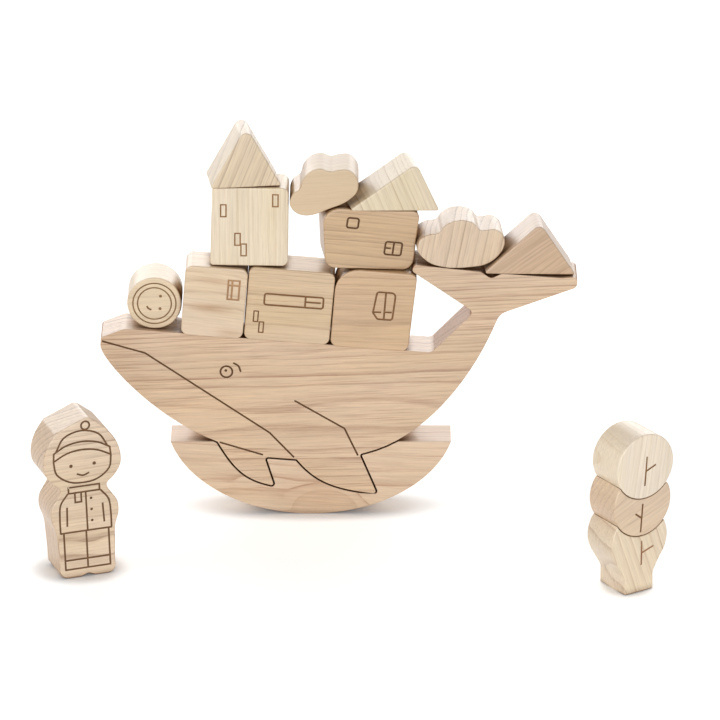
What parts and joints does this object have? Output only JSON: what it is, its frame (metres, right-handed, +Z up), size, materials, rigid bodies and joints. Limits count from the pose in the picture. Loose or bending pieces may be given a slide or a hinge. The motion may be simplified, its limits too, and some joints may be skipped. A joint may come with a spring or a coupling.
{
  "type": "balance game",
  "caption": "Wooden balance game: a whale on a curved rocker carries loose house, roof, sun, cloud and bush blocks, with a child figure and a nesting tree beside it.",
  "frame": {"origin": "on the table, under the lowest line of the rocker and in the middle of its thickness", "axes": "+X from the nose to the tail of the whale, +Y away from the engraved face, +Z up"},
  "size_m": [0.4399, 0.1845, 0.2846],
  "materials": {
    "ash_tan": "sanded, lightly oiled ash in a tan tone, with burnt engraved lines",
    "ash_pale": "sanded, lightly oiled ash in a pale yellow tone, with burnt engraved lines",
    "ash_reddish": "sanded, lightly oiled ash in a reddish tan tone, with burnt engraved lines",
    "ash_streaked": "sanded, lightly oiled ash with strong darker growth rings, with burnt engraved lines"
  },
  "bodies": {
    "rocker": {"rocker_base": "ash_tan"},
    "whale": {"whale_body": "ash_tan"},
    "sun": {"sun_disc": "ash_pale"},
    "left_house": {"left_house": "ash_pale"},
    "middle_house": {"middle_house": "ash_tan"},
    "right_house": {"right_house": "ash_reddish"},
    "tower": {"tower_block": "ash_pale"},
    "tower_roof": {"tower_roof": "ash_streaked"},
    "upper_house": {"upper_house": "ash_streaked"},
    "upper_roof": {"upper_roof": "ash_pale"},
    "cloud": {"cloud_block": "ash_tan"},
    "bush": {"bush_block": "ash_streaked"},
    "tail_roof": {"tail_roof": "ash_reddish"},
    "child": {"child_figure": "ash_tan"},
    "tree_trunk": {"tree_trunk": "ash_streaked"},
    "tree_middle": {"tree_crown_middle": "ash_tan"},
    "tree_top": {"tree_crown_top": "ash_pale"}
  },
  "joints": [
    {"name": "whale_lift", "type": "slide", "parent": "rocker", "child": "whale", "axis": [-0.4226, 0, 0.9063], "range_m": [0, 0.07]},
    {"name": "sun_lift", "type": "slide", "parent": "whale", "child": "sun", "axis": [0, 0, 1], "range_m": [0, 0.05]},
    {"name": "left_house_draw", "type": "slide", "parent": "whale", "child": "left_house", "axis": [0, -1, 0], "range_m": [0, 0.045]},
    {"name": "middle_house_draw", "type": "slide", "parent": "whale", "child": "middle_house", "axis": [0, -1, 0], "range_m": [0, 0.045]},
    {"name": "right_house_draw", "type": "slide", "parent": "whale", "child": "right_house", "axis": [0, -1, 0], "range_m": [0, 0.045]},
    {"name": "tower_lift", "type": "slide", "parent": "whale", "child": "tower", "axis": [0, 0, 1], "range_m": [0, 0.05]},
    {"name": "tower_roof_lift", "type": "slide", "parent": "tower", "child": "tower_roof", "axis": [0, 0, 1], "range_m": [0, 0.05]},
    {"name": "upper_house_lift", "type": "slide", "parent": "whale", "child": "upper_house", "axis": [0, 0, 1], "range_m": [0, 0.05]},
    {"name": "upper_roof_lift", "type": "slide", "parent": "upper_house", "child": "upper_roof", "axis": [0, 0, 1], "range_m": [0, 0.05]},
    {"name": "cloud_lift", "type": "slide", "parent": "upper_roof", "child": "cloud", "axis": [0, 0, 1], "range_m": [0, 0.05]},
    {"name": "bush_lift", "type": "slide", "parent": "whale", "child": "bush", "axis": [0.6691, 0, 0.7431], "range_m": [0, 0.05]},
    {"name": "tail_roof_lift", "type": "slide", "parent": "whale", "child": "tail_roof", "axis": [0.866, 0, 0.5], "range_m": [0, 0.05]},
    {"name": "child_lift", "type": "slide", "parent": "rocker", "child": "child", "axis": [0, 0, 1], "range_m": [0, 0.06]},
    {"name": "trunk_lift", "type": "slide", "parent": "rocker", "child": "tree_trunk", "axis": [0, 0, 1], "range_m": [0, 0.06]},
    {"name": "tree_middle_lift", "type": "slide", "parent": "tree_trunk", "child": "tree_middle", "axis": [0, 0, 1], "range_m": [0, 0.05]},
    {"name": "tree_top_lift", "type": "slide", "parent": "tree_middle", "child": "tree_top", "axis": [0, 0, 1], "range_m": [0, 0.05]}
  ]
}
